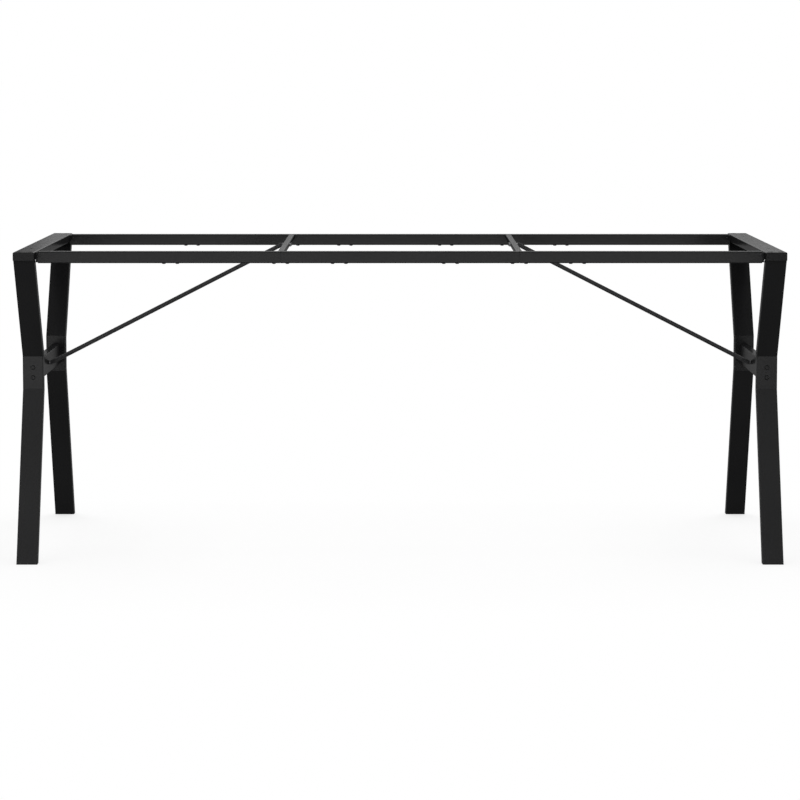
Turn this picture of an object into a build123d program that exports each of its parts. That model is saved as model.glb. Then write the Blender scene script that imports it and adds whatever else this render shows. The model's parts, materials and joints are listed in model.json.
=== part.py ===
from build123d import *
import os
from math import atan2, tan

# A table underframe: two ends of bent legs, joined by two long rails and braced to them.
# Millimetres. X runs along the table, Y from front to rear, Z up from the floor.
# The origin is on the floor, under the middle of the frame.

# Overall sizes
frame_length = 1792.0
frame_depth = 800.0
frame_height = 730.0

# Legs: flat tube with two mitred bends and an upright knee between them
leg_width = 49.0
leg_thickness = 25.0
leg_wall = 1.5
knee_inset = 157.0
knee_height = 434.5
knee_length = 77.0
leg_top_inset = 7.0

# End rails, across the tops of the legs
end_rail_width = 49.0
end_rail_height = 20.0
end_rail_wall = 1.5

# Long rails, in three sections each
rail_width = 25.0
rail_height = 27.4
rail_wall = 1.5
rail_inset = 36.5
rail_end_gap = 4.5
middle_section_length = 556.0
section_gap = 0.8

# Sleeves inside the rail joints, and tongues on the end rails
sleeve_length = 70.0
sleeve_wall = 2.0
tongue_reach = 30.0

# Top crossbars, at the rail joints
crossbar_width = 15.0
crossbar_height = 12.0
crossbar_wall = 1.5

# Knee bars, between the front and rear knees
knee_bar_width = 20.0
knee_bar_height = 50.0
knee_bar_wall = 1.5

# Braces: round rod with bent ends, turned down and threaded
brace_diameter = 10.4
brace_end_run = 2.5
brace_bend_share = 0.95

# Every square tube has this outside corner radius, and no inside corner is sharper than the second
tube_corner = 2.5
tightest_corner = 0.5

# Plugs and welded plates
cap_flange = 3.0
cap_plug_depth = 10.0
cap_plug_wall = 2.5
cap_edge_radius = 1.2
foot_base = 2.0
foot_plug_depth = 14.0
plate_thickness = 5.0

# Thread diameters
small_thread = 4.0
rail_thread = 5.0
brace_thread = 5.0
main_thread = 6.0

# Fastener proportions, as multiples of the thread diameter
button_head_width = 1.85
button_head_height = 0.46
cap_head_width = 1.65
cap_head_height = 1.0
socket_width = 0.62
socket_depth = 0.32
nut_width = 1.67
nut_height = 0.8
thin_nut_height = 0.5
thread_past_nut = 0.35

# Fastener places
knee_bolt_pitch = 24.0
leg_bolt_pitch = 24.0
leg_bolt_access = 14.0
rail_bolt_drop = 8.0
rail_bolt_edge = 4.5
screw_pair_pitch = 31.3
screw_length = 9.0

# Pairs of top screws under each long rail, as distances from the nearest rail joint
left_pair_outboard = 256.5
left_pair_inboard = 136.5
right_pair_inboard = 160.5
right_pair_outboard = 135.5

# Holes for fastening a table top to the end rails
top_hole_diameter = 6.5
top_hole_pitch = 500.0

# Clearances, on each side
slide_clearance = 0.25
bolt_clearance = 0.2
thread_clearance = 0.05

# Places that several pieces share
end_x = frame_length / 2 - end_rail_width / 2
end_rail_inner_x = frame_length / 2 - end_rail_width
end_rail_bottom = frame_height - end_rail_height
end_rail_middle = frame_height - end_rail_height / 2
rail_y = frame_depth / 2 - rail_inset - rail_width / 2
rail_z = frame_height - rail_height / 2
rail_bottom = frame_height - rail_height
rail_outer_y = rail_y + rail_width / 2
rail_inner_y = rail_y - rail_width / 2
rail_end_x = end_rail_inner_x - rail_end_gap
joint_x = middle_section_length / 2
sleeve_width = rail_width - 2 * (rail_wall + slide_clearance)
sleeve_height = rail_height - 2 * (rail_wall + slide_clearance)
sleeve_inner_y = rail_y - sleeve_width / 2
crossbar_z = frame_height - crossbar_height / 2
knee_outer_y = frame_depth / 2 - knee_inset
knee_inner_y = knee_outer_y - leg_thickness
knee_bar_inner_x = end_x - knee_bar_width / 2
knee_bar_outer_x = end_x + knee_bar_width / 2
crossbar_inner_x = joint_x - crossbar_width / 2
crossbar_outer_x = joint_x + crossbar_width / 2
brace_nut = nut_height * brace_thread
brace_thin_nut = thin_nut_height * brace_thread
rail_bolt_x = rail_end_x - rail_bolt_edge
rail_bolt_z = frame_height - rail_bolt_drop
knee_bolt_heights = [knee_height - knee_bolt_pitch / 2, knee_height + knee_bolt_pitch / 2]
leg_bolt_offsets = [-leg_bolt_pitch / 2, leg_bolt_pitch / 2]
pair_offsets = [-screw_pair_pitch / 2, screw_pair_pitch / 2]
sleeve_screw_x = [side * joint_x + offset for side in (-1, 1) for offset in pair_offsets]
top_pair_x = [
    -joint_x - left_pair_outboard,
    -joint_x + left_pair_inboard,
    joint_x - right_pair_inboard,
    joint_x + right_pair_outboard,
]
top_screw_x = [middle + offset for middle in top_pair_x for offset in pair_offsets]

# The outer face of a rear leg in the Y-Z plane, from the floor to the end rail
leg_outline = [
    Vector(0, frame_depth / 2, 0),
    Vector(0, knee_outer_y, knee_height - knee_length / 2),
    Vector(0, knee_outer_y, knee_height + knee_length / 2),
    Vector(0, frame_depth / 2 - leg_top_inset, end_rail_bottom),
]

SIDES = {"left": -1, "right": 1}
ENDS = {"front": -1, "rear": 1}
THROUGH = frame_height


def rounded(width, height, corner):
    """A rectangle with rounded corners, no rounder than its size allows."""
    radius = max(tightest_corner, min(corner, 0.45 * width, 0.45 * height))
    return RectangleRounded(width, height, radius)


def tube_section(width, height, wall):
    """The section of a square tube."""
    bore = rounded(width - 2 * wall, height - 2 * wall, tube_corner - wall)
    return rounded(width, height, tube_corner) - bore


def along_x(section, start, end, y, z):
    """A section extruded along X between two places."""
    return extrude(Plane.YZ.offset(start) * Pos(y, z) * section, amount=end - start)


def along_y(section, start, end, x, z):
    """A section extruded along Y between two places."""
    plane = Plane((x, start, z), x_dir=(1, 0, 0), z_dir=(0, 1, 0))
    return extrude(plane * section, amount=end - start)


def drill_x(diameter, start, end, y, z):
    """A round bar along X."""
    return along_x(Circle(diameter / 2), start, end, y, z)


def drill_y(diameter, start, end, x, z):
    """A round bar along Y."""
    return along_y(Circle(diameter / 2), start, end, x, z)


def drill_z(diameter, start, end, x, y):
    """A round bar along Z."""
    return extrude(Plane.XY.offset(start) * Pos(x, y) * Circle(diameter / 2), amount=end - start)


def slab(bottom, top):
    """Everything between two heights."""
    reach = 2 * frame_length
    return Pos(0, 0, (bottom + top) / 2) * Box(reach, reach, top - bottom)


def bolt_hole(thread):
    return thread + 2 * bolt_clearance


def tapped_hole(thread):
    return thread + 2 * thread_clearance


def socket(thread):
    """The hexagonal recess in a screw head, sunk from the plane of the head's top."""
    hexagon = RegularPolygon(socket_width * thread / 2, 6, major_radius=False)
    return extrude(hexagon, amount=-socket_depth * thread)


def button_screw(thread, length):
    """A button-head screw: the head's seat is at the origin, the shank points down."""
    head_radius = button_head_width * thread / 2
    height = button_head_height * thread
    crown = socket_width * thread
    profile = make_face(
        [
            Line((0, 0), (head_radius, 0)),
            ThreePointArc((head_radius, 0), (0.9 * head_radius, 0.6 * height), (crown, height)),
            Line((crown, height), (0, height)),
            Line((0, height), (0, 0)),
        ]
    )
    head = revolve(Plane.XZ * profile, axis=Axis.Z)
    shank = drill_z(thread, -length, 0, 0, 0)
    return head + shank - Pos(0, 0, height) * socket(thread)


def cap_screw(thread, length):
    """A socket cap screw: the head's seat is at the origin, the shank points down."""
    height = cap_head_height * thread
    head = drill_z(cap_head_width * thread, 0, height, 0, 0)
    shank = drill_z(thread, -length, 0, 0, 0)
    return head + shank - Pos(0, 0, height) * socket(thread)


def nut(thread, height):
    """A hexagon nut that stands on the origin, with two flats facing along Y."""
    hexagon = RegularPolygon(nut_width * thread / 2, 6, major_radius=False)
    return extrude(hexagon - Circle(tapped_hole(thread) / 2), amount=height)


def leg_path():
    """The middle line of a rear leg, run on past the floor and the end rail."""
    runs = [(end - start).normalized() for start, end in zip(leg_outline, leg_outline[1:])]
    normals = [Vector(0, run.Z, -run.Y) for run in runs]
    half = leg_thickness / 2
    points = [leg_outline[0] - normals[0] * half - runs[0] * leg_thickness * 2]
    for corner, before, after in zip(leg_outline[1:-1], normals, normals[1:]):
        points.append(corner - (before + after) * (half / (1 + before.dot(after))))
    points.append(leg_outline[-1] - normals[-1] * half + runs[-1] * leg_thickness * 2)
    return points


LEG_PATH = leg_path()


def leg_sweep(section):
    """A section swept along the middle line of a rear leg, with mitred corners."""
    start = Plane(LEG_PATH[0], x_dir=(1, 0, 0), z_dir=LEG_PATH[1] - LEG_PATH[0])
    return sweep(start * section, path=Polyline(*LEG_PATH), transition=Transition.RIGHT)


def leg_bore():
    """What fits inside a rear leg's tube."""
    shrink = 2 * (leg_wall + slide_clearance)
    return leg_sweep(rounded(leg_width - shrink, leg_thickness - shrink, tube_corner - leg_wall))


def leg_top_y():
    """The middle of a rear leg where it meets the end rail."""
    low, high = LEG_PATH[-2], LEG_PATH[-1]
    return low.Y + (high.Y - low.Y) * (end_rail_bottom - low.Z) / (high.Z - low.Z)


LEG_TOP_Y = leg_top_y()
LEG_BORE = leg_bore()


def make_leg():
    """A rear leg: mitred tube, cut level at the floor and under the end rail."""
    leg = leg_sweep(tube_section(leg_width, leg_thickness, leg_wall)) & slab(foot_base, end_rail_bottom)
    for height in knee_bolt_heights:
        leg -= drill_y(bolt_hole(main_thread), knee_inner_y - 1, knee_outer_y + 1, 0, height)
    return leg


def make_foot_plug():
    """A plug in the cut end of a rear leg, with a base that stands on the floor."""
    base = leg_sweep(rounded(leg_width, leg_thickness, tube_corner)) & slab(0, foot_base)
    return base + (LEG_BORE & slab(foot_base, foot_base + foot_plug_depth))


def make_leg_plate():
    """A threaded plate welded into the top of a rear leg."""
    plate = LEG_BORE & slab(end_rail_bottom - plate_thickness, end_rail_bottom)
    for offset in leg_bolt_offsets:
        plate -= drill_z(tapped_hole(main_thread), 0, THROUGH, offset, LEG_TOP_Y)
    return plate


def make_end_rail():
    """An end rail about X = 0, with its leg bolt, access and table top holes."""
    reach = frame_depth / 2 - cap_flange
    section = tube_section(end_rail_width, end_rail_height, end_rail_wall)
    rail = along_y(section, -reach, reach, 0, end_rail_middle)
    for end in ENDS.values():
        for offset in leg_bolt_offsets:
            rail -= drill_z(bolt_hole(main_thread), 0, end_rail_middle, offset, end * LEG_TOP_Y)
            rail -= drill_z(leg_bolt_access, end_rail_middle, frame_height + 1, offset, end * LEG_TOP_Y)
        rail -= drill_z(top_hole_diameter, 0, frame_height + 1, 0, end * top_hole_pitch / 2)
    return rail


def make_end_cap():
    """A plug in the rear end of an end rail about X = 0."""
    seat = frame_depth / 2 - cap_flange
    flange = along_y(
        rounded(end_rail_width, end_rail_height, tube_corner), seat, frame_depth / 2, 0, end_rail_middle
    )
    edge_radius = min(cap_edge_radius, 0.45 * cap_flange)
    flange = fillet(flange.faces().sort_by(Axis.Y)[-1].edges(), edge_radius)
    shrink = 2 * (end_rail_wall + slide_clearance)
    plug_width = end_rail_width - shrink
    plug_height = end_rail_height - shrink
    plug = rounded(plug_width, plug_height, tube_corner - end_rail_wall)
    plug -= Rectangle(plug_width - 2 * cap_plug_wall, plug_height - 2 * cap_plug_wall)
    return flange + along_y(plug, seat - cap_plug_depth, seat, 0, end_rail_middle)


def make_knee_bar():
    """A knee bar about X = 0, with the hole for its brace."""
    section = tube_section(knee_bar_width, knee_bar_height, knee_bar_wall)
    bar = along_y(section, -knee_inner_y, knee_inner_y, 0, knee_height)
    return bar - drill_x(bolt_hole(brace_thread), -knee_bar_width, knee_bar_width, 0, knee_height)


def make_knee_plate():
    """A threaded plate welded into the rear end of a knee bar about X = 0."""
    shrink = 2 * (knee_bar_wall + slide_clearance)
    section = rounded(knee_bar_width - shrink, knee_bar_height - shrink, tube_corner - knee_bar_wall)
    plate = along_y(section, knee_inner_y - plate_thickness, knee_inner_y, 0, knee_height)
    for height in knee_bolt_heights:
        plate -= drill_y(tapped_hole(main_thread), 0, knee_outer_y, 0, height)
    return plate


def make_rail_section(start, end):
    """One section of the rear long rail, with its notches and screw holes."""
    section = along_x(tube_section(rail_width, rail_height, rail_wall), start, end, rail_y, rail_z)
    for side in SIDES.values():
        notch = Box(
            crossbar_width + 2 * slide_clearance,
            2 * (rail_wall + 2 * slide_clearance),
            2 * (crossbar_height + slide_clearance),
        )
        section -= Pos(side * joint_x, rail_inner_y, frame_height) * notch
        section -= drill_y(
            bolt_hole(small_thread), rail_inner_y - 1, rail_outer_y + 1, side * rail_bolt_x, rail_bolt_z
        )
    for x in sleeve_screw_x:
        section -= drill_z(bolt_hole(rail_thread), rail_bottom - 1, rail_z, x, rail_y)
    for x in top_screw_x:
        section -= drill_z(tapped_hole(rail_thread), rail_bottom - 1, rail_z, x, rail_y)
    return section


def make_sleeve():
    """A sleeve inside the rear long rail, across a joint at X = 0."""
    section = tube_section(sleeve_width, sleeve_height, sleeve_wall)
    sleeve = along_x(section, -sleeve_length / 2, sleeve_length / 2, rail_y, rail_z)
    for offset in pair_offsets:
        sleeve -= drill_z(tapped_hole(rail_thread), rail_bottom, rail_z, offset, rail_y)
    return sleeve


def make_tongue():
    """A tongue on the right end rail, inside the end of the rear long rail."""
    section = tube_section(sleeve_width, sleeve_height, sleeve_wall)
    tongue = along_x(section, rail_end_x - tongue_reach, end_rail_inner_x, rail_y, rail_z)
    return tongue - drill_y(bolt_hole(small_thread), rail_inner_y, rail_outer_y, rail_bolt_x, rail_bolt_z)


def make_crossbar():
    """A crossbar about X = 0, between the sleeves, with the hole for its brace."""
    section = tube_section(crossbar_width, crossbar_height, crossbar_wall)
    bar = along_y(section, -sleeve_inner_y, sleeve_inner_y, 0, crossbar_z)
    return bar - drill_x(bolt_hole(brace_thread), -crossbar_width, crossbar_width, 0, crossbar_z)


def make_brace():
    """The right brace: a bent rod whose turned-down ends pass through the crossbar and knee bar."""
    low_shoulder = knee_bar_inner_x - brace_thin_nut
    high_shoulder = crossbar_outer_x + brace_thin_nut
    low_corner = low_shoulder - brace_end_run
    high_corner = high_shoulder + brace_end_run
    rise = crossbar_z - knee_height
    bend = brace_bend_share * brace_end_run / tan(atan2(rise, low_corner - high_corner) / 2)
    path = FilletPolyline(
        (low_shoulder, 0, knee_height),
        (low_corner, 0, knee_height),
        (high_corner, 0, crossbar_z),
        (high_shoulder, 0, crossbar_z),
        radius=bend,
    )
    rod = sweep(Plane(path @ 0, z_dir=path % 0) * Circle(brace_diameter / 2), path=path)
    tip = brace_nut + thread_past_nut * brace_thread
    low_thread = drill_x(brace_thread, low_shoulder, knee_bar_outer_x + tip, 0, knee_height)
    high_thread = drill_x(brace_thread, crossbar_inner_x - tip, high_shoulder, 0, crossbar_z)
    return rod + low_thread + high_thread


def turned(end):
    """A rear piece as it is, or half a turn round for the front."""
    return Rot(0, 0, 0 if end > 0 else 180)


def make_brace_nuts():
    """A thin nut on the brace's side of each knee bar and crossbar, and a full one on the far side."""
    thin = Plane.YZ * nut(brace_thread, brace_thin_nut)
    full = Plane.YZ * nut(brace_thread, brace_nut)
    right_nuts = [
        Pos(knee_bar_inner_x - brace_thin_nut, 0, knee_height) * thin,
        Pos(knee_bar_outer_x, 0, knee_height) * full,
        Pos(crossbar_inner_x - brace_nut, 0, crossbar_z) * full,
        Pos(crossbar_outer_x, 0, crossbar_z) * thin,
    ]
    return right_nuts + [turned(-1) * piece for piece in right_nuts]


def facing(direction, x, y, z):
    """The place of a fastener whose head faces the given way."""
    return Plane((x, y, z), z_dir=direction).location


def make_knee_bolts():
    length = leg_thickness + plate_thickness + thread_past_nut * main_thread
    bolt = button_screw(main_thread, length)
    return [
        facing((0, end, 0), side * end_x, end * knee_outer_y, height) * bolt
        for side in SIDES.values()
        for end in ENDS.values()
        for height in knee_bolt_heights
    ]


def make_leg_bolts():
    length = end_rail_wall + plate_thickness + thread_past_nut * main_thread
    bolt = cap_screw(main_thread, length)
    seat = end_rail_bottom + end_rail_wall
    return [
        Pos(side * end_x + offset, end * LEG_TOP_Y, seat) * bolt
        for side in SIDES.values()
        for end in ENDS.values()
        for offset in leg_bolt_offsets
    ]


def make_rail_bolts():
    length = rail_width + nut_height * small_thread + thread_past_nut * small_thread
    bolt = button_screw(small_thread, length)
    return [
        facing((0, end, 0), side * rail_bolt_x, end * rail_outer_y, rail_bolt_z) * bolt
        for side in SIDES.values()
        for end in ENDS.values()
    ]


def make_rail_nuts():
    rail_nut = nut(small_thread, nut_height * small_thread)
    return [
        facing((0, -end, 0), side * rail_bolt_x, end * rail_inner_y, rail_bolt_z) * rail_nut
        for side in SIDES.values()
        for end in ENDS.values()
    ]


def make_rail_screws(places):
    """Button-head screws up into the undersides of both long rails."""
    screw = button_screw(rail_thread, screw_length)
    return [
        facing((0, 0, -1), x, end * rail_y, rail_bottom) * screw for end in ENDS.values() for x in places
    ]


nodes = {}


def add_pair(name, piece, x):
    """The same piece at the left and the right end of the frame."""
    for side, sign in SIDES.items():
        nodes[f"{name}_{side}"] = Pos(sign * x, 0, 0) * piece


def add_corners(name, rear_piece, x):
    """A rear piece, symmetrical about X = 0, at the four corners of the frame."""
    for end, sign in ENDS.items():
        add_pair(f"{name}_{end}", turned(sign) * rear_piece, x)


def add_group(name, solids):
    """Separate like solids in one node."""
    nodes[name] = Compound([solid for piece in solids for solid in piece.solids()])


add_pair("end_rail", make_end_rail(), end_x)
add_corners("end_cap", make_end_cap(), end_x)
add_corners("leg", make_leg(), end_x)
add_corners("foot_plug", make_foot_plug(), end_x)
add_corners("leg_plate", make_leg_plate(), end_x)
add_pair("knee_bar", make_knee_bar(), end_x)
add_corners("knee_plate", make_knee_plate(), end_x)
add_corners("joint_sleeve", make_sleeve(), joint_x)
add_pair("crossbar", make_crossbar(), joint_x)

# The three sections of the rear rail; the front rail's are their mirror images
half_gap = section_gap / 2
rail_sections = {
    "left": (-rail_end_x, -joint_x - half_gap),
    "middle": (-joint_x + half_gap, joint_x - half_gap),
    "right": (joint_x + half_gap, rail_end_x),
}
for place, (start, end) in rail_sections.items():
    rear_section = make_rail_section(start, end)
    nodes[f"rail_rear_{place}"] = rear_section
    nodes[f"rail_front_{place}"] = mirror(rear_section, about=Plane.XZ)

# The right tongue and brace, and the same half a turn round for the left
rear_right_tongue = make_tongue()
front_right_tongue = mirror(rear_right_tongue, about=Plane.XZ)
nodes["rail_tongue_rear_right"] = rear_right_tongue
nodes["rail_tongue_front_right"] = front_right_tongue
nodes["rail_tongue_front_left"] = turned(-1) * rear_right_tongue
nodes["rail_tongue_rear_left"] = turned(-1) * front_right_tongue
right_brace = make_brace()
nodes["brace_right"] = right_brace
nodes["brace_left"] = turned(-1) * right_brace

add_group("knee_bolts", make_knee_bolts())
add_group("leg_bolts", make_leg_bolts())
add_group("rail_end_bolts", make_rail_bolts())
add_group("rail_end_nuts", make_rail_nuts())
add_group("brace_nuts", make_brace_nuts())
add_group("sleeve_screws", make_rail_screws(sleeve_screw_x))
add_group("top_screws", make_rail_screws(top_screw_x))

os.makedirs("parts", exist_ok=True)
for name, shape in nodes.items():
    export_step(shape, f"parts/{name}.step")
print(len(nodes), "nodes written")
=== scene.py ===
import bpy
import json
from math import cos, pi, radians
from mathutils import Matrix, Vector


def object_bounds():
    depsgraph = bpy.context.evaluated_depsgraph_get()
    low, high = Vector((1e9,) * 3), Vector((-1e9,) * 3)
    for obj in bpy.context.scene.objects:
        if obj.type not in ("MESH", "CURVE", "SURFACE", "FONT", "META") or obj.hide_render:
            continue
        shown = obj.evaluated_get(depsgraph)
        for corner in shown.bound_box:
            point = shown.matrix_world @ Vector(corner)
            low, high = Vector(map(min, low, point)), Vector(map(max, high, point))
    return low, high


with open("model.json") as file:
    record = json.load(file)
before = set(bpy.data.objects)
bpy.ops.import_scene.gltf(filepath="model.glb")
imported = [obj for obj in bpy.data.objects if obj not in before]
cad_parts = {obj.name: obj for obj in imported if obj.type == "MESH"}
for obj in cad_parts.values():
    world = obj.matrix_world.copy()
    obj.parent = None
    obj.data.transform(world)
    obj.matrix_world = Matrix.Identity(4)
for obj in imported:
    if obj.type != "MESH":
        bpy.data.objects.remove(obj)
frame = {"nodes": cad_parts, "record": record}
cad_low, cad_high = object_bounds()

# Camera fitted to the photograph, in metres, degrees and millimetres; it looks along +Y and a little down
camera_distance = 7.1164
camera_height = 1.1530
camera_pitch = 5.09
camera_lens = 130.932
camera_sensor = 36.0
camera_shift = -0.09

# Even light from above, and a weak fill from all round
sun_strength = 2.1
sun_spread = 60.0
sun_lean = 12.0
fill_strength = 0.10

# Background: the floor's own glow makes up what the even light lacks, so that floor and world are one white
background_strength = 1.0
floor_size = 400.0
floor_drop = 0.0002
floor_colour = 0.30
floor_light = sun_strength * cos(radians(sun_lean)) / pi + fill_strength
floor_glow = background_strength - floor_colour * floor_light

# Soft boxes around the frame, in metres: gaps to its faces, then place, height aimed at, size and radiance
front_y = cad_low[1]
rear_y = cad_high[1]
side_x = cad_high[0]
near_gap = 2.2
far_gap = 4.1
side_gap = 3.1
corner_gap_x = 2.7
corner_gap_y = 3.2
soft_boxes = {
    "low_front": {
        "place": (-0.18, front_y - near_gap, 0.36),
        "aim": 0.40,
        "size": (2.9, 0.68),
        "radiance": 5.5,
    },
    "high_front": {
        "place": (-0.50, front_y - far_gap, 3.0),
        "aim": 0.30,
        "size": (4.8, 2.0),
        "radiance": 2.3,
    },
    "back": {
        "place": (0.90, rear_y + far_gap, 2.0),
        "aim": 0.70,
        "size": (5.0, 1.6),
        "radiance": 3.6,
    },
}
side_box = {"aim": 0.45, "size": (3.0, 1.4), "radiance": 3.6}
corner_box = {"aim": 0.60, "size": (3.2, 1.8), "radiance": 3.0}
for side, sign in {"left": -1, "right": 1}.items():
    side_place = (sign * (side_x + side_gap), 0.3, 1.2)
    soft_boxes[side] = {"place": side_place, **side_box}
    for end, y in {"front": front_y - corner_gap_y, "rear": rear_y + corner_gap_y}.items():
        corner_place = (sign * (side_x + corner_gap_x), y, 2.2)
        soft_boxes[f"{end}_{side}_corner"] = {"place": corner_place, **corner_box}

# Surface: noise scales in 1/m, the part of the noise's range that is used, and the grain's depth in metres
cloud_scale = 5.0
patch_scale = 40.0
noise_low = 0.3
noise_high = 0.7
grain_depth = 0.0002

# Each black is a grey with a little more blue
blue_share = 1.04


def new_material(name):
    """An empty node material and its output."""
    material = bpy.data.materials.new(name)
    material.use_nodes = True
    tree = material.node_tree
    tree.nodes.clear()
    output = tree.nodes.new("ShaderNodeOutputMaterial")
    return material, tree, output


def noise(tree, place, scale, detail):
    """A noise in the object's own coordinates."""
    node = tree.nodes.new("ShaderNodeTexNoise")
    node.inputs["Scale"].default_value = scale
    node.inputs["Detail"].default_value = detail
    tree.links.new(place.outputs["Object"], node.inputs["Vector"])
    return node


def spread(tree, source, low, high):
    """Maps a noise to the range between low and high."""
    node = tree.nodes.new("ShaderNodeMapRange")
    node.inputs["From Min"].default_value = noise_low
    node.inputs["From Max"].default_value = noise_high
    node.inputs["To Min"].default_value = low
    node.inputs["To Max"].default_value = high
    tree.links.new(source.outputs["Fac"], node.inputs["Value"])
    return node


def black_finish(name, greys, rough, gloss, gloss_rough, grain, relief):
    """A black coating: clouded colour, uneven roughness, a fine grain in relief and a thin gloss on top."""
    material, tree, output = new_material(name)
    shader = tree.nodes.new("ShaderNodeBsdfPrincipled")
    place = tree.nodes.new("ShaderNodeTexCoord")
    cloud = noise(tree, place, cloud_scale, detail=4.0)
    patch = noise(tree, place, patch_scale, detail=3.0)
    grit = noise(tree, place, grain, detail=2.0)

    ramp = tree.nodes.new("ShaderNodeValToRGB")
    for stop, position, grey in zip(ramp.color_ramp.elements, (noise_low, noise_high), greys):
        stop.position = position
        stop.color = (grey, grey, grey * blue_share, 1.0)
    tree.links.new(cloud.outputs["Fac"], ramp.inputs["Fac"])
    tree.links.new(ramp.outputs["Color"], shader.inputs["Base Color"])

    uneven = spread(tree, patch, *rough)
    tree.links.new(uneven.outputs["Result"], shader.inputs["Roughness"])

    bump = tree.nodes.new("ShaderNodeBump")
    bump.inputs["Strength"].default_value = relief
    bump.inputs["Distance"].default_value = grain_depth
    tree.links.new(grit.outputs["Fac"], bump.inputs["Height"])
    tree.links.new(bump.outputs["Normal"], shader.inputs["Normal"])
    tree.links.new(bump.outputs["Normal"], shader.inputs["Coat Normal"])

    shader.inputs["Specular IOR Level"].default_value = 0.0
    shader.inputs["Coat Weight"].default_value = gloss
    shader.inputs["Coat Roughness"].default_value = gloss_rough
    tree.links.new(shader.outputs["BSDF"], output.inputs["Surface"])
    return material


# Tubes, and the knee bolts that are painted with them
powder_coat = black_finish(
    "powder_coat", (0.0050, 0.0076), (0.45, 0.55), gloss=0.12, gloss_rough=0.22, grain=1500.0, relief=0.15
)
# End caps and foot plugs
black_plastic = black_finish(
    "black_plastic", (0.0055, 0.0080), (0.55, 0.65), gloss=0.085, gloss_rough=0.30, grain=2400.0, relief=0.15
)
# Most screws, bolts and nuts
black_oxide = black_finish(
    "black_oxide", (0.0055, 0.0095), (0.35, 0.45), gloss=0.09, gloss_rough=0.25, grain=900.0, relief=0.12
)
# Round rods and rail end bolts: a smoother coat, with a lighter black than the tubes that is painted sheen
# for the light these parts catch
painted_sheen_black = black_finish(
    "painted_sheen_black", (0.017, 0.022), (0.40, 0.50), gloss=0.12, gloss_rough=0.30, grain=1500.0, relief=0.08
)
# Nuts on the rods, which catch the light
black_zinc = black_finish(
    "black_zinc", (0.08, 0.13), (0.25, 0.35), gloss=0.90, gloss_rough=0.15, grain=900.0, relief=0.12
)

slot_finishes = {"frame": powder_coat, "plastic": black_plastic, "fasteners": black_oxide}
own_finishes = {
    # The rods and rail end bolts take the lighter black with painted sheen
    "brace_left": painted_sheen_black,
    "brace_right": painted_sheen_black,
    "rail_end_bolts": painted_sheen_black,
    "knee_bolts": powder_coat,
    "brace_nuts": black_zinc,
}
for part in frame["record"]["subparts"]:
    node = frame["nodes"][part["node"]]
    finish = own_finishes.get(part["node"], slot_finishes[part["material_slot"]])
    node.data.materials.clear()
    node.data.materials.append(finish)


def seen_directly(tree):
    """1 for camera, glossy and transmission rays, so that reflections show the same background."""
    path = tree.nodes.new("ShaderNodeLightPath")
    first = tree.nodes.new("ShaderNodeMath")
    first.operation = "MAXIMUM"
    second = tree.nodes.new("ShaderNodeMath")
    second.operation = "MAXIMUM"
    tree.links.new(path.outputs["Is Camera Ray"], first.inputs[0])
    tree.links.new(path.outputs["Is Glossy Ray"], first.inputs[1])
    tree.links.new(first.outputs["Value"], second.inputs[0])
    tree.links.new(path.outputs["Is Transmission Ray"], second.inputs[1])
    return second


def scaled(tree, source, factor):
    """A node's value times a factor."""
    node = tree.nodes.new("ShaderNodeMath")
    node.operation = "MULTIPLY"
    node.inputs[1].default_value = factor
    tree.links.new(source.outputs["Value"], node.inputs[0])
    return node


def make_floor():
    """A wide pale floor that shows the object's soft shadow."""
    bpy.ops.mesh.primitive_plane_add(size=floor_size, location=(0, 0, -floor_drop))
    floor = bpy.context.object
    floor.name = "floor"
    material, tree, output = new_material("pale_floor")
    diffuse = tree.nodes.new("ShaderNodeBsdfDiffuse")
    diffuse.inputs["Color"].default_value = (floor_colour, floor_colour, floor_colour, 1.0)
    glow = tree.nodes.new("ShaderNodeEmission")
    strength = scaled(tree, seen_directly(tree), floor_glow)
    tree.links.new(strength.outputs["Value"], glow.inputs["Strength"])
    both = tree.nodes.new("ShaderNodeAddShader")
    tree.links.new(diffuse.outputs["BSDF"], both.inputs[0])
    tree.links.new(glow.outputs["Emission"], both.inputs[1])
    tree.links.new(both.outputs["Shader"], output.inputs["Surface"])
    floor.data.materials.append(material)
    return floor


def all_but(floor):
    """What the soft boxes light: everything but the floor, where they would leave bands."""
    receivers = bpy.data.collections.new("off_floor")
    receivers.objects.link(floor)
    receivers.collection_objects[0].light_linking.link_state = "EXCLUDE"
    return receivers


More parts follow.
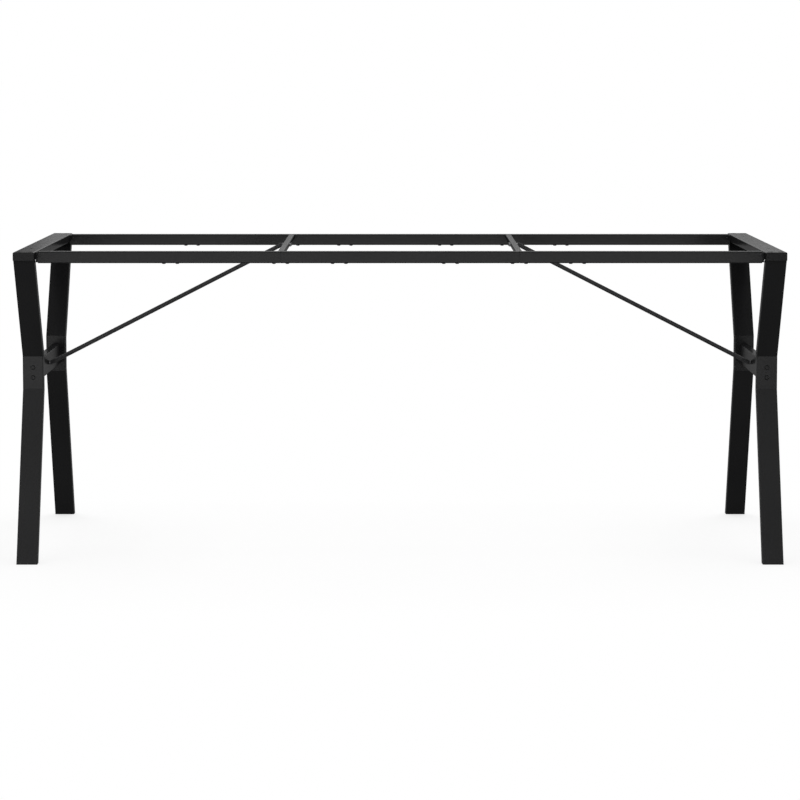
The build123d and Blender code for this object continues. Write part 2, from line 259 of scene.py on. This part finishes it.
def make_world():
    """White where it is seen, and a weak even fill where it only lights."""
    world = bpy.data.worlds.new("studio")
    world.use_nodes = True
    tree = world.node_tree
    tree.nodes.clear()
    output = tree.nodes.new("ShaderNodeOutputWorld")
    background = tree.nodes.new("ShaderNodeBackground")
    background.inputs["Color"].default_value = (1.0, 1.0, 1.0, 1.0)
    extra = scaled(tree, seen_directly(tree), background_strength - fill_strength)
    total = tree.nodes.new("ShaderNodeMath")
    total.operation = "ADD"
    total.inputs[1].default_value = fill_strength
    tree.links.new(extra.outputs["Value"], total.inputs[0])
    tree.links.new(total.outputs["Value"], background.inputs["Strength"])
    tree.links.new(background.outputs["Background"], output.inputs["Surface"])
    bpy.context.scene.world = world


def make_sky_light():
    """A wide, even light from above, which lights the whole floor alike."""
    lamp = bpy.data.lights.new("sky_light", "SUN")
    lamp.energy = sun_strength
    lamp.angle = radians(sun_spread)
    sky = bpy.data.objects.new("sky_light", lamp)
    sky.rotation_euler = (-radians(sun_lean), 0, 0)
    bpy.context.scene.collection.objects.link(sky)


def make_soft_box(name, receivers, place, aim, size, radiance):
    """A rectangular lamp that faces a point on the frame's upright axis."""
    lamp = bpy.data.lights.new(name, "AREA")
    lamp.shape = "RECTANGLE"
    lamp.size, lamp.size_y = size
    lamp.energy = radiance * lamp.size * lamp.size_y * pi
    box = bpy.data.objects.new(name, lamp)
    box.location = place
    box.rotation_euler = (Vector((0, 0, aim)) - Vector(place)).to_track_quat("-Z", "Y").to_euler()
    box.visible_camera = False
    box.light_linking.receiver_collection = receivers
    bpy.context.scene.collection.objects.link(box)


def make_camera():
    """The photograph's camera."""
    data = bpy.data.cameras.new("camera")
    data.lens = camera_lens
    data.sensor_width = camera_sensor
    data.shift_y = camera_shift
    camera = bpy.data.objects.new("camera", data)
    camera.location = (0, -camera_distance, camera_height)
    camera.rotation_euler = (radians(90 - camera_pitch), 0, 0)
    bpy.context.scene.collection.objects.link(camera)
    bpy.context.scene.camera = camera


lit_by_boxes = all_but(make_floor())
make_world()
make_sky_light()
for name, box in soft_boxes.items():
    make_soft_box(name, lit_by_boxes, **box)
make_camera()
bpy.context.scene.view_settings.view_transform = "Standard"
